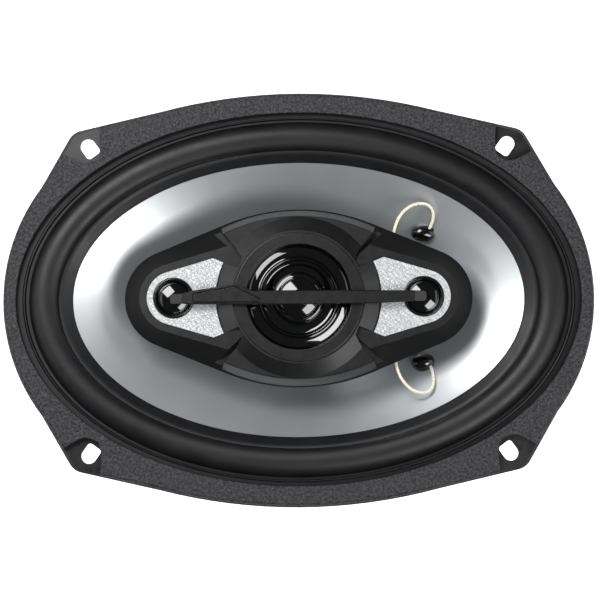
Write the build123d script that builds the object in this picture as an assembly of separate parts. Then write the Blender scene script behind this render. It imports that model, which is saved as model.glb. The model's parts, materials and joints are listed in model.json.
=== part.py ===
"""Oval coaxial car loudspeaker: woofer, middle driver and two tweeters in a pod on a central post.

Millimetres. Origin: centre of the four screw slots, on the rear face of the mounting flange.
+Z along the axis, out of the front; +X along the long side.
"""
import math
import os

from build123d import *

# ---------------------------------------------------------------- driving dimensions
# Mounting flange and its outline
FLANGE_T = 1.6
FLANGE_EDGE = 1.2            # bevel of the flange's front edge
END_ARC_X = 42.9             # centres of the two end arcs
END_ARC_R = 74.6
HALF_WIDTH = 82.5
EAR_ROOT_END = (102.2, 45.5)     # where an ear leaves the end arc
EAR_CORNER = (89.6, 67.4)
EAR_ROOT_SIDE = (55.0, 75.4)     # where it leaves the side arc
EAR_CORNER_R = 7.0
SLOT_PITCH_X = 165.1
SLOT_PITCH_Y = 120.65
SLOT_W = 6.1
SLOT_REACH = (4.6, 3.05)     # from the slot's centre to its round end and to its flat inner end
SLOT_CORNER_R = 1.4
SLOT_TILT = 54.4             # degrees, long axis of a slot against X

# Basket below the flange
OPENING = (108.5, 72.4)      # half axes of the flange's opening
SHEET = 1.2
SHELF_Z = -34.0
SHELF_R = 58.0
SHELF_IN_R = 50.2
FLOOR_TOP_Z = -49.8
FLOOR_R = 47.2
FLOOR_HOLE_R = 21.0
WINDOWS = 8
WINDOW_W = 22.0
WINDOW_Z = (-30.0, -8.0)
VENT_W = 12.0
VENT_Z = (-46.5, -38.0)

# Magnet system
TOP_PLATE = (46.0, 17.4, 6.0)    # outer radius, inner radius, thickness
MAGNET = (50.0, 27.0, 17.0)
BACK_PLATE = (46.0, 6.0)         # radius, thickness
POLE_R = 15.4
POLE_BORE_R = 2.5
SCREW_HEAD = (4.6, 3.4)          # radius, height of the post screw's head

# Cone, coil and suspension
CONE_RIM = (93.6, 58.0)
CONE_RIM_Z = 1.6
CONE_NECK_Z = -30.4
CONE_T = 0.9
FORMER = (16.05, 15.8)           # outer and inner radius
FORMER_Z = (-60.0, -28.0)
COIL_R = 16.85
COIL_Z = (-60.0, -48.0)
SPIDER_R = 56.0
SPIDER_T = 0.5
SURROUND_END_X = 52.85           # arc centres of the surround's middle line
SURROUND_SIDE_Y = 75.0
SURROUND_END_R = 48.2
SURROUND_T = 0.6
ROLL_HALF = 5.95
ROLL_RISE = 4.6
LIP_OUT = 13.2                   # outer lip's edge, from the middle line
LIP_IN = -11.4

# Gasket
GASKET_IN = (112.0, 74.1)
GASKET_TOP = 5.6
GASKET_INSET = 0.6
NOTCH = [(79.4, 80.0), (78.4, 61.0), (79.2, 56.2), (83.8, 54.3), (87.4, 55.1), (104.0, 64.2), (104.0, 80.0)]
NOTCH_CORNER_R = 2.5

# Pod: the bridge over the cone that holds the small drivers
TWEETER_X = 49.2
POD_BOTTOM = 5.0
POD_WALL_TOP = 7.5
POD_DECK = 13.2
POD_CEILING = 11.5
POD_EDGE = 0.4               # bevel round the deck
SKIRT = (TWEETER_X, 19.5, 35.2, 75.6)    # end arc centre and radius, half width, side arc radius
LOBE = (TWEETER_X, 13.9, 24.5, 105.7)
POD_WALL = 2.0
CENTRE_HALF = 32.2           # half width of the middle deck
CENTRE_TIP = (29.6, 25.3)
GROOVE_ROOT = (22.0, 15.1)   # where the groove beside each arm starts, at the collar
GROOVE_REST = [(24.75, 19.9), (34.5, 30.7), (35.6, 27.3)]
GROOVE_FLOOR = 9.0
BAND = (31.8, 26.2, 15.8)    # foot radius, top radius and top height of the collar
ARM_INNER = (23.6, 11.6)
ARM_OUTER = [(31.6, 14.5), (31.0, 23.2)]
BEZEL = (25.4, 20.7, 14.8, 16.4)     # radii and heights of the ring
HUB_R = 20.0
POST_R = 7.0
POD_BORE_R = 22.4
POD_SCREW = (17.0, 26.6)

# Trim inserts
INSERT_END_R = 10.8
INSERT_OUTER = (33.6, 15.9)
INSERT_INNER = (29.2, 14.1)
INSERT_ARC_R = 32.4
INSERT_Z = (12.4, 13.4)

# Bar and blank plate
BAR_Z = (16.4, 19.2)
BAR_LEFT = [(0.0, -3.15), (-41.5, -2.86), (-46.3, -2.45), (-50.5, -2.6), (-50.5, 1.3), (-46.3, 1.35),
            (-41.5, 2.45), (-25.0, 4.95), (-18.2, 2.35)]
BAR_RIGHT = [(0.0, 2.4), (31.2, 2.1), (45.1, 2.0), (50.1, 1.85), (50.1, -2.1), (45.1, -2.28), (31.2, -2.85)]
BAR_EDGE = 0.35
BAR_CORNER_R = 1.2
BAR_SLOPE = (4.6, 2.3)       # length and drop of the sloping pads at both ends
PLATE = [(-41.3, 1.25), (-25.0, 3.95), (-14.4, -1.4), (-15.4, -2.1), (-41.3, -1.95)]
PLATE_GAP = 0.25
PLATE_POCKET = 0.6           # depth of the pocket that the plate lies in

# Middle driver
MID_CUP = (13.5, 10.9, -2.6, 6.5)    # outer and inner radius, bottom and top
MID_CUP_WALL = 1.2                   # bottom of the cup
MID_MAGNET_R = 8.6
MID_PLATE = (9.0, 2.5)               # radius, thickness
MID_COIL = (10.4, 9.6, 2.7, 8.4)
MID_THROAT = (11.2, 7.5)             # radius and top of the frame's inner flange
MID_SEAT = (16.6, 15.2, 11.8)        # radii and height of the seat of the roll
MID_DISH = [(20.9, 14.8), (19.7, 13.15), (16.6, 12.35)]
MID_ROLL = (15.25, 0.85, 0.8, 0.25)  # middle radius, half width, rise, thickness
MID_CONE = [(10.2, 8.6), (13.7, 11.3), (14.2, 11.5)]     # underside of the diaphragm
MID_CAP = (9.4, 8.9, 11.2)           # radius, base and top

# Tweeters
TWEETER_RING = (7.8, 6.5, 14.2)      # radii and top
TWEETER_LEDGE = (5.9, 12.2)
TWEETER_CUP = (7.2, 6.1, 6.5, 10.5)
TWEETER_MAGNET = (4.4, 9.3)          # radius and top
TWEETER_PLATE = (4.6, 10.3)
TWEETER_COIL = (5.5, 5.1, 8.7, 12.4)
TWEETER_DOME = (5.3, 12.7, 13.6)     # radius, base and top
TWEETER_SKIN = 0.25

# Front leads
LEAD_R = 0.62
LEAD_UPPER = [(37.2, 21.8, 3.2), (38.0, 27.6, 3.4), (40.6, 33.6, 3.2), (46.0, 37.9, 1.8),
              (52.4, 37.9, -0.4), (54.8, 33.0, -3.4), (52.6, 28.6, -6.9)]
LEAD_LOWER = [(37.4, -19.6, 3.2), (38.0, -25.8, 3.4), (40.2, -32.2, 3.2), (45.2, -37.2, 1.8),
              (51.6, -37.6, -0.4), (54.2, -32.0, -3.8), (52.4, -26.6, -7.6)]
GLUE_UPPER = (49.8, 27.0)
GLUE_LOWER = (49.4, -24.6)
GLUE_SIZE = (4.7, 3.7, 2.4)
EYELET_R = 1.5

# Terminal board on the +X leg
BOARD_SIZE = (24.0, 16.0, 1.6)
BOARD_Z = -17.0


# ---------------------------------------------------------------- helpers
def ring(r_out, r_in, z0, z1):
    """Tube, or a disc where r_in is 0."""
    base = (Align.CENTER, Align.CENTER, Align.MIN)
    solid = Pos(0, 0, z0) * Cylinder(r_out, z1 - z0, align=base)
    if r_in:
        solid -= Pos(0, 0, z0 - 1) * Cylinder(r_in, z1 - z0 + 2, align=base)
    return solid


def box(x0, x1, y0, y1, z0, z1):
    return Pos(x0, y0, z0) * Box(x1 - x0, y1 - y0, z1 - z0, align=(Align.MIN,) * 3)


def turned(points):
    """Solid of revolution about Z from (radius, height) points."""
    return revolve(Plane.XZ * make_face(Polyline(*points, close=True)), Axis.Z)


def flat_face(edges):
    """Face in the XY plane whose normal points up, whichever way its edges run."""
    face = make_face(edges).face()
    return face if face.normal_at().Z > 0 else -face


def slab(face, z0, z1):
    return Pos(0, 0, z0) * extrude(face, z1 - z0)


def polygon(points):
    return flat_face(Polyline(*points, close=True))


def four_ways(solid):
    """The solid and its mirror images in X and Y."""
    pair = [solid, mirror(solid, Plane.YZ)]
    return pair + [mirror(s, Plane.XZ) for s in pair]


def oval(half_axes, z):
    return Pos(0, 0, z) * flat_face(Ellipse(*half_axes).edges())


def disc(radius, z):
    return Pos(0, 0, z) * flat_face(Circle(radius).edges())


def lobed_outline(end_x, end_r, half_width, side_r):
    """Face with arcs round (+-end_x, 0), two long side arcs, and straight lines tangent to both."""
    side_y = side_r - half_width
    lean = math.atan2(side_y, end_x) + math.acos((side_r - end_r) / math.hypot(end_x, side_y))
    end_pt = (end_x + end_r * math.cos(lean), end_r * math.sin(lean))
    side_pt = (side_r * math.cos(lean), side_r * math.sin(lean) - side_y)
    edges = []
    for sx in (1, -1):
        edges.append(ThreePointArc((sx * end_pt[0], -end_pt[1]), (sx * (end_x + end_r), 0),
                                   (sx * end_pt[0], end_pt[1])))
        for sy in (1, -1):
            edges.append(Line((sx * end_pt[0], sy * end_pt[1]), (sx * side_pt[0], sy * side_pt[1])))
    for sy in (1, -1):
        edges.append(ThreePointArc((side_pt[0], sy * side_pt[1]), (0, sy * half_width),
                                   (-side_pt[0], sy * side_pt[1])))
    return flat_face(edges)


def bevelled(face, z0, z1, bevel):
    """Slab whose upper edge is cut back by the bevel."""
    top = Pos(0, 0, z1 - bevel) * extrude(face, bevel, taper=45)
    return slab(face, z0, z1 - bevel) + top


# ---------------------------------------------------------------- basket
def flange_outline(inset=0.0):
    """Flange outline: end and side arcs joined by straight-sided ears."""
    ends = []
    for sx in (1, -1):
        root = (sx * EAR_ROOT_END[0], EAR_ROOT_END[1])
        foot = (root[0], -root[1])
        ends.append(ThreePointArc(foot, (sx * (END_ARC_X + END_ARC_R), 0), root))
    ears = []
    sides = []
    for sy in (1, -1):
        for sx in (1, -1):
            pts = [(sx * x, sy * y) for x, y in (EAR_ROOT_END, EAR_CORNER, EAR_ROOT_SIDE)]
            ears.append(Line(pts[0], pts[1]))
            ears.append(Line(pts[1], pts[2]))
        start = (EAR_ROOT_SIDE[0], sy * EAR_ROOT_SIDE[1])
        sides.append(ThreePointArc(start, (0, sy * HALF_WIDTH), (-start[0], start[1])))
    face = flat_face(ends + ears + sides)
    corners = [v for v in face.vertices() if abs(abs(v.X) - EAR_CORNER[0]) < 0.01]
    face = fillet(corners, EAR_CORNER_R)
    if inset:
        face = offset(face, -inset)
    return face


def slot_cutter():
    """Screw slot of the (+X, +Y) ear: round at its outer end, flat with small corners at its inner end."""
    outer, inner = SLOT_REACH
    straight = outer - SLOT_W / 2
    half = SLOT_W / 2
    corners = [(-inner, -half), (straight, -half), (straight, half), (-inner, half)]
    sides = Polyline(corners[1], corners[0], corners[3], corners[2])
    face = flat_face(sides.edges() + [ThreePointArc(corners[1], (outer, 0), corners[2])])
    face = fillet([v for v in face.vertices() if v.X < 0], SLOT_CORNER_R)
    return Pos(SLOT_PITCH_X / 2, SLOT_PITCH_Y / 2, 0) * Rot(0, 0, SLOT_TILT) * slab(face, -1, FLANGE_T + 1)


def window_cutters(width, z_range, corner):
    """Radial bars with rounded long edges, one between each pair of legs."""
    cutters = []
    blank = box(30, 130, -width / 2, width / 2, *z_range)
    bar = fillet(blank.edges().filter_by(Axis.X), corner)
    for k in range(WINDOWS):
        cutters.append(Rot(0, 0, (k + 0.5) * 360 / WINDOWS) * bar)
    return cutters


def board_plane():
    """Plane on the +X leg: local X runs along the row's Y, local Z points out of the wall."""
    run = (OPENING[0] + SHEET - SHELF_R) / -SHELF_Z
    tilt = math.atan(1 / run)
    normal = (math.sin(tilt), 0, -math.cos(tilt))
    centre_x = OPENING[0] + SHEET + BOARD_Z * run
    return Plane(origin=(centre_x, 0, BOARD_Z), x_dir=(0, 1, 0), z_dir=normal)


def basket():
    body = bevelled(flange_outline(), 0, FLANGE_T, FLANGE_EDGE)
    body -= slab(oval(OPENING, 0), -1, FLANGE_T + 1)
    outer = loft([oval((OPENING[0] + SHEET, OPENING[1] + SHEET), 0), disc(SHELF_R, SHELF_Z)])
    inner = loft([oval(OPENING, 0), disc(SHELF_R - SHEET, SHELF_Z)])
    wall = outer - inner
    pad = board_plane() * Pos(0, 0, -0.7) * Box(BOARD_SIZE[0] + 4, BOARD_SIZE[1] + 2, 3.0)
    wall += pad
    for cutter in window_cutters(WINDOW_W, WINDOW_Z, 4.0):
        wall -= cutter
    body += wall
    body += ring(SHELF_R, SHELF_IN_R - SHEET, SHELF_Z - SHEET, SHELF_Z)
    floor_z = FLOOR_TOP_Z - SHEET
    foot = turned([(SHELF_IN_R - SHEET, SHELF_Z - SHEET), (SHELF_IN_R, SHELF_Z - SHEET),
                   (FLOOR_R, floor_z), (FLOOR_R - SHEET, floor_z)])
    for cutter in window_cutters(VENT_W, VENT_Z, 3.0):
        foot -= cutter
    body += foot
    body += ring(FLOOR_R, FLOOR_HOLE_R, floor_z, FLOOR_TOP_Z)
    for cutter in four_ways(slot_cutter()):
        body -= cutter
    return body


def gasket():
    body = bevelled(flange_outline(GASKET_INSET), FLANGE_T, GASKET_TOP, 0.8)
    body -= slab(oval(GASKET_IN, 0), FLANGE_T - 1, GASKET_TOP + 1)
    notch = polygon(NOTCH)
    inner = [v for v in notch.vertices() if v.X < 88 and v.Y < 70]
    notch = fillet(inner, NOTCH_CORNER_R)
    for cutter in four_ways(slab(notch, FLANGE_T - 1, GASKET_TOP + 1)):
        body -= cutter
    lip = surround_ring([(-20, FLANGE_T - 1), (LIP_OUT, FLANGE_T - 1), (LIP_OUT, FLANGE_T + SURROUND_T),
                         (-20, FLANGE_T + SURROUND_T)])
    return body - lip


# ---------------------------------------------------------------- magnet system
def motor():
    floor_z = FLOOR_TOP_Z - SHEET
    top_r, gap_r, top_t = TOP_PLATE
    mag_r, mag_in, mag_t = MAGNET
    back_r, back_t = BACK_PLATE
    plate_z = floor_z - top_t
    mag_z = plate_z - mag_t
    back_z = mag_z - back_t
    head_r, head_h = SCREW_HEAD
    yoke = ring(back_r, 0, back_z, mag_z) + ring(POLE_R, 0, back_z, floor_z)
    yoke -= ring(POLE_BORE_R, 0, back_z - 1, floor_z + 1)
    yoke -= ring(head_r + 0.6, 0, back_z - 1, back_z + head_h + 0.8)
    screw = ring(POLE_BORE_R, 0, back_z + head_h + 0.8, floor_z + 18)
    head = ring(head_r, 0, back_z + 0.8, back_z + head_h + 0.8)
    head -= slab(Rot(0, 0, 45) * Rectangle(1.1, 5.4), back_z, back_z + 2.6)
    head -= slab(Rot(0, 0, -45) * Rectangle(1.1, 5.4), back_z, back_z + 2.6)
    rivets = []
    for k in range(4):
        at = Rot(0, 0, 45 + 90 * k) * Pos(36, 0, 0)
        shank = ring(2.5, 0, floor_z - 4, FLOOR_TOP_Z)
        rivets.append(at * (shank + ring(4.0, 0, FLOOR_TOP_Z, FLOOR_TOP_Z + 1.2)))
    top = ring(top_r, gap_r, plate_z, floor_z)
    for rivet in rivets:
        top -= rivet
    return {"top_plate": top, "magnet": ring(mag_r, mag_in, mag_z, plate_z), "yoke": yoke,
            "post_screw": screw + head, "plate_rivets": rivets}


# ---------------------------------------------------------------- cone and suspension
def cone_bowl(rise):
    """Solid from the neck to the rim; its slanted side is the cone's face, raised by rise."""
    return loft([oval(CONE_RIM, CONE_RIM_Z + rise), disc(FORMER[0], CONE_NECK_Z + rise)])


def cone_height(x, y):
    """Height of the cone's front face above the point (x, y)."""
    low, high = 0.0, 1.0
    for _ in range(40):
        s = (low + high) / 2
        a = FORMER[0] + s * (CONE_RIM[0] - FORMER[0])
        b = FORMER[0] + s * (CONE_RIM[1] - FORMER[0])
        if (x / a) ** 2 + (y / b) ** 2 > 1:
            low = s
        else:
            high = s
    return CONE_NECK_Z + CONE_T + low * (CONE_RIM_Z - CONE_NECK_Z)


def surround_ring(profile):
    """Sweeps (offset, height) points round the four-arc middle line of the surround."""
    turn = math.degrees(math.atan2(SURROUND_SIDE_Y, SURROUND_END_X))
    side_r = SURROUND_END_R + math.hypot(SURROUND_END_X, SURROUND_SIDE_Y)
    pieces = []
    for centre, radius, start, sweep_angle in (
            ((SURROUND_END_X, 0), SURROUND_END_R, -turn, 2 * turn),
            ((0, -SURROUND_SIDE_Y), side_r, turn, 180 - 2 * turn),
            ((-SURROUND_END_X, 0), SURROUND_END_R, 180 - turn, 2 * turn),
            ((0, SURROUND_SIDE_Y), side_r, 180 + turn, 180 - 2 * turn)):
        section = Plane.XZ * polygon([(radius + off, z) for off, z in profile])
        piece = revolve(section, Axis.Z, revolution_arc=sweep_angle)
        pieces.append(Pos(*centre, 0) * Rot(0, 0, start) * piece)
    return pieces[0] + pieces[1] + pieces[2] + pieces[3]


def roll_points(half, rise, steps, centre=0.0, base=0.0):
    """Points of a circular arch of the given half width and rise."""
    radius = (half ** 2 + rise ** 2) / (2 * rise)
    reach = math.asin(half / radius)
    points = []
    for k in range(steps + 1):
        angle = -reach + 2 * reach * k / steps
        points.append((centre + radius * math.sin(angle), base + rise - radius + radius * math.cos(angle)))
    return points


def surround():
    base = FLANGE_T
    top = base + SURROUND_T
    over = roll_points(ROLL_HALF, ROLL_RISE, 12, base=top)
    under = roll_points(ROLL_HALF - SURROUND_T, ROLL_RISE - SURROUND_T, 12, base=top)
    profile = [(LIP_IN, base), (LIP_IN, top)] + over + [(LIP_OUT, top), (LIP_OUT, base),
              (ROLL_HALF - SURROUND_T, base)] + under[::-1] + [(-(ROLL_HALF - SURROUND_T), base)]
    return surround_ring(profile)


def spider():
    waves, inner, outer, swing = 5, 19.0, 49.0, 1.1
    middle = SHELF_Z + SPIDER_T / 2
    line = [(FORMER[0], middle), (inner, middle)]
    step = (outer - inner) / (4 * waves)
    for k in range(waves):
        start = inner + 4 * k * step
        line += [(start + step, middle + swing), (start + 3 * step, middle - swing),
                 (start + 4 * step, middle)]
    line.append((SPIDER_R, middle))
    upper = [(r, z + SPIDER_T / 2) for r, z in line]
    lower = [(r, z - SPIDER_T / 2) for r, z in reversed(line)]
    return turned(upper + lower)


def cone_set():
    bowl = cone_bowl(CONE_T)
    cone = cone_bowl(0) - bowl - ring(FORMER[0], 0, CONE_NECK_Z - 5, CONE_NECK_Z + 5)
    eyelets = []
    nodes = {}
    for name, (gx, gy), route in (("upper", GLUE_UPPER, LEAD_UPPER), ("lower", GLUE_LOWER, LEAD_LOWER)):
        hole_x, hole_y = route[-1][0], route[-1][1]
        face_z = cone_height(hole_x, hole_y)
        barrel = Pos(hole_x, hole_y, 0) * ring(EYELET_R, 0, face_z - 3.2, face_z + 2)
        eyelet = barrel - bowl
        cone -= barrel
        eyelets.append(eyelet)
        blob = Pos(gx, gy, cone_height(gx, gy)) * scale(Sphere(1), by=GLUE_SIZE)
        blob += Pos(hole_x, hole_y, face_z + 0.4) * scale(Sphere(1), by=(2.4, 2.4, 2.0))
        nodes["lead_glue_" + name] = blob & bowl
        nodes["flex_lead_" + name] = lead_tube("flex_lead_" + name, route)
    former = ring(*FORMER, *FORMER_Z)
    coil = ring(COIL_R, FORMER[0], *COIL_Z)
    nodes.update({"cone": cone, "voice_coil_former": former, "voice_coil": coil, "lead_eyelets": eyelets})
    return nodes


def lead_tube(name, route):
    """Round tube along straight runs with tangent arcs as large as the runs allow."""
    points = [Vector(*p) for p in route]
    radii = []
    for before, at, after in zip(points, points[1:], points[2:]):
        turn = math.radians((at - before).get_angle(after - at))
        radii.append(0.45 * min((at - before).length, (after - at).length) / math.tan(turn / 2))
    path = FilletPolyline(*points, radius=radii)
    print(name, "radii", [round(r, 2) for r in radii], "length", round(path.length, 2))
    section = Plane(origin=points[0], z_dir=points[1] - points[0]) * Circle(LEAD_R)
    tube = sweep(section, path=path)
    print(name, "volume", round(tube.volume, 3), "section x length",
          round(math.pi * LEAD_R ** 2 * path.length, 3))
    return tube


# ---------------------------------------------------------------- terminal board
def terminals():
    plane = board_plane()
    lift = 0.8
    top = lift + BOARD_SIZE[2]
    tab_t = 0.8
    board = plane * Pos(0, 0, lift + BOARD_SIZE[2] / 2) * Box(*BOARD_SIZE)
    nodes = {}
    rivets = []
    for name, at_x, width in (("terminal_positive", 6.5, 4.75), ("terminal_negative", -6.5, 2.8)):
        tab = Pos(at_x, -7.0, top + tab_t / 2) * Box(width, 18.0, tab_t)
        head_z = top + tab_t
        pin = Pos(at_x, -1.0, 0) * (ring(1.3, 0, lift, head_z) + ring(2.1, 0, head_z, head_z + 0.7))
        nodes[name] = plane * (tab - pin)
        rivets.append(plane * pin)
    rivets.append(plane * Pos(0, 4.5, 0) * (ring(1.6, 0, lift, top) + ring(2.8, 0, top, top + 0.9)))
    for rivet in rivets:
        board -= rivet
    nodes["terminal_board"] = board
    nodes["terminal_rivets"] = rivets
    return nodes


# ---------------------------------------------------------------- pod
def insert_outline():
    """Right-hand insert: round about the tweeter, straight to two corners, hollow towards the middle."""
    reach = math.hypot(INSERT_OUTER[0] - TWEETER_X, INSERT_OUTER[1])
    to_centre = math.atan2(-INSERT_OUTER[1], TWEETER_X - INSERT_OUTER[0])
    slope = to_centre + math.asin(INSERT_END_R / reach)
    touch = (TWEETER_X - INSERT_END_R * math.sin(slope), INSERT_END_R * math.cos(slope))
    edges = [ThreePointArc((touch[0], -touch[1]), (TWEETER_X + INSERT_END_R, 0), touch)]
    for sy in (1, -1):
        outer = (INSERT_OUTER[0], sy * INSERT_OUTER[1])
        inner = (INSERT_INNER[0], sy * INSERT_INNER[1])
        edges.append(Line((touch[0], sy * touch[1]), outer))
        edges.append(Line(outer, inner))
    edges.append(ThreePointArc(INSERT_INNER, (INSERT_ARC_R, 0), (INSERT_INNER[0], -INSERT_INNER[1])))
    return flat_face(edges)


def centre_outline(tip, half_width):
    """Hourglass of the middle deck: arcs front and back, notched in to the groove roots."""
    edges = []
    for sy in (1, -1):
        edges.append(ThreePointArc((tip[0], sy * tip[1]), (0, sy * half_width), (-tip[0], sy * tip[1])))
        for sx in (1, -1):
            edges.append(Line((sx * tip[0], sy * tip[1]), (sx * GROOVE_ROOT[0], sy * GROOVE_ROOT[1])))
    for sx in (1, -1):
        root = (sx * GROOVE_ROOT[0], GROOVE_ROOT[1])
        edges.append(Line(root, (root[0], -root[1])))
    return flat_face(edges)


def pod_housing():
    skirt = lobed_outline(*SKIRT)
    lobes = lobed_outline(*LOBE)
    bevel_z = POD_DECK - POD_EDGE
    body = slab(skirt, POD_BOTTOM, POD_WALL_TOP)
    body += loft([Pos(0, 0, POD_WALL_TOP) * skirt, Pos(0, 0, bevel_z) * lobes], ruled=True)
    body += Pos(0, 0, bevel_z) * extrude(lobes, POD_EDGE, taper=45)
    foot_x = CENTRE_TIP[0] + 0.9
    foot_y = math.sqrt(SKIRT[3] ** 2 - foot_x ** 2) - (SKIRT[3] - SKIRT[2])
    foot = centre_outline((foot_x, foot_y - 0.6), SKIRT[2] - 0.3)
    deck = centre_outline(CENTRE_TIP, CENTRE_HALF)
    body += loft([Pos(0, 0, POD_WALL_TOP) * foot, Pos(0, 0, bevel_z) * deck], ruled=True)
    body += Pos(0, 0, bevel_z) * extrude(deck, POD_EDGE, taper=45)
    foot_r, top_r, top_z = BAND
    collar = turned([(0, POD_DECK), (foot_r, POD_DECK), (top_r, top_z), (0, top_z)])
    arm = polygon([ARM_INNER] + ARM_OUTER + [GROOVE_ROOT])
    for cutter in four_ways(slab(arm, POD_DECK, top_z + 1)):
        collar -= cutter
    body += collar + ring(top_r, 0, POD_DECK, top_z)
    groove = polygon([GROOVE_ROOT] + GROOVE_REST)
    for cutter in four_ways(slab(groove, GROOVE_FLOOR, POD_DECK + 2)):
        body -= cutter
    cavity = slab(offset(skirt, -POD_WALL), POD_BOTTOM - 1, POD_WALL_TOP)
    cavity += slab(offset(lobes, -POD_WALL), POD_WALL_TOP - 1, POD_CEILING)
    for cutter in four_ways(slab(offset(groove, 1.2), GROOVE_FLOOR - 1.2, POD_CEILING)):
        cavity -= cutter
    body -= cavity
    body -= ring(POD_BORE_R, 0, POD_BOTTOM, top_z + 1)
    body -= ring(BEZEL[0], 0, BEZEL[2], top_z + 1)
    for side in (1, -1):
        body -= Pos(side * TWEETER_X, 0, 0) * ring(TWEETER_RING[0], 0, POD_BOTTOM, POD_DECK + 1)
    recess = slab(insert_outline(), INSERT_Z[0], POD_DECK + 1)
    body -= recess
    body -= mirror(recess, Plane.YZ)
    for cutter in four_ways(pod_boss(0.95)):
        body -= cutter
    return body


def pod_boss(radius):
    return Pos(*POD_SCREW, 0) * ring(radius, 0, POD_BOTTOM, 10.5)


def pod_base():
    plate_top = POD_BOTTOM + 1.5
    body = slab(offset(lobed_outline(*SKIRT), -POD_WALL), POD_BOTTOM, plate_top)
    cup_r, _, cup_z, _ = MID_CUP
    bottom = FLOOR_TOP_Z - SHEET
    profile = [(0, bottom), (POST_R, bottom), (POST_R, -16), (HUB_R, -3), (HUB_R, plate_top), (0, plate_top)]
    body += turned(profile)
    body -= ring(cup_r, 0, cup_z, plate_top + 1)
    body -= ring(POLE_BORE_R, 0, bottom - 1, bottom + 18)
    for cutter in four_ways(pod_boss(0.95)):
        body -= cutter
    return body


def pod_screws():
    screw = ring(0.95, 0, POD_BOTTOM, 10.5) + ring(2.0, 0, POD_BOTTOM - 1.3, POD_BOTTOM)
    screw -= slab(Rectangle(0.5, 2.6), POD_BOTTOM - 2, POD_BOTTOM - 0.7)
    screw -= slab(Rectangle(2.6, 0.5), POD_BOTTOM - 2, POD_BOTTOM - 0.7)
    return four_ways(Pos(*POD_SCREW, 0) * screw)


def pod_tags():
    """Solder tags under the pod, one at the start of each lead."""
    tags = []
    for route, out in ((LEAD_UPPER, 1), (LEAD_LOWER, -1)):
        x, y, _ = route[0]
        face = y - out * 0.2
        back = face - out * 0.8
        tags.append(box(x - 1.3, x + 1.3, min(face, back), max(face, back), 1.6, POD_BOTTOM))
    return tags


def bar():
    """Bar with a blade-shaped hump, sloping end pads and a pocket for the plate."""
    outline = polygon(BAR_LEFT + BAR_RIGHT)
    ends = [v for v in outline.vertices() if abs(v.X) > 50]
    body = slab(fillet(ends, BAR_CORNER_R), *BAR_Z)
    body = chamfer(body.edges().group_by(Axis.Z)[-1], BAR_EDGE)
    length, drop = BAR_SLOPE
    top = BAR_Z[1]
    for end_x, out in ((BAR_RIGHT[3][0], 1), (BAR_LEFT[3][0], -1)):
        wedge = make_face(Polyline((end_x - out * length, top), (end_x + out, top - drop * (1 + 1 / length)),
                                   (end_x + out, top + 1), (end_x - out * length, top + 1), close=True))
        body -= extrude(Plane.XZ * wedge, 10, both=True)
    pocket = offset(polygon(PLATE), PLATE_GAP)
    return body - slab(pocket, top - PLATE_POCKET, top + 1)


def nameplate():
    """Blank plate, flush with the bar, with a chamfered upper edge."""
    body = slab(polygon(PLATE), BAR_Z[1] - PLATE_POCKET, BAR_Z[1])
    return chamfer(body.edges().group_by(Axis.Z)[-1], 0.15)


# ---------------------------------------------------------------- small drivers
def middle_driver():
    _, cup_in, cup_z, cup_top = MID_CUP
    throat_r, throat_z = MID_THROAT
    seat_r, seat_in, seat_z = MID_SEAT
    magnet_z = cup_z + MID_CUP_WALL
    plate_r, plate_t = MID_PLATE
    frame = turned([(throat_r, cup_top), (POD_BORE_R, cup_top), (POD_BORE_R, MID_DISH[0][1])] + MID_DISH
                   + [(seat_r, seat_z), (seat_in, seat_z), (seat_in, throat_z), (throat_r, throat_z)])
    yoke = ring(MID_CUP[0], 0, cup_z, magnet_z) + ring(*MID_CUP)
    middle, half, rise, skin = MID_ROLL
    foot_z = seat_z + 0.3
    inner_r = MID_CONE[-1][0]
    over = roll_points(half, rise, 6, centre=middle, base=foot_z)
    under = roll_points(half - skin, rise - skin, 6, centre=middle, base=foot_z)
    suspension = turned([(inner_r, seat_z), (inner_r, foot_z)] + over
                        + [(seat_r - 0.05, foot_z), (seat_r - 0.05, seat_z), (middle + half - skin, seat_z)]
                        + under[::-1] + [(middle - half + skin, seat_z)])
    cap_r, cap_base, cap_top = MID_CAP
    coil_in, coil_top = MID_COIL[1], MID_COIL[3]
    diaphragm = turned([(coil_in, coil_top)] + MID_CONE
                       + [(inner_r, seat_z), (13.4, 11.6), (9.9, cap_base), (coil_in, cap_base)])
    cap = turned([(0, cap_top)] + cap_points(cap_r, cap_base + 0.1, cap_top)[1:]
                 + [(cap_r + 0.5, cap_base + 0.1), (cap_r + 0.5, cap_base), (cap_r - 0.4, cap_base)]
                 + cap_points(cap_r - 0.5, cap_base, cap_top - 0.4)[::-1])
    plate_z = cup_top - plate_t
    return {"mid_frame": frame, "mid_yoke": yoke, "mid_magnet": ring(MID_MAGNET_R, 0, magnet_z, plate_z),
            "mid_pole_plate": ring(plate_r, 0, plate_z, cup_top), "mid_surround": suspension,
            "mid_diaphragm": diaphragm, "mid_dust_cap": cap, "mid_voice_coil": ring(*MID_COIL)}


def cap_points(radius, base, top, steps=10):
    """Points of a domed cap from its top centre out to its edge."""
    height = top - base
    sphere = (radius ** 2 + height ** 2) / (2 * height)
    reach = math.asin(radius / sphere)
    return [(sphere * math.sin(reach * k / steps), top - sphere + sphere * math.cos(reach * k / steps))
            for k in range(steps + 1)]


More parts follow.
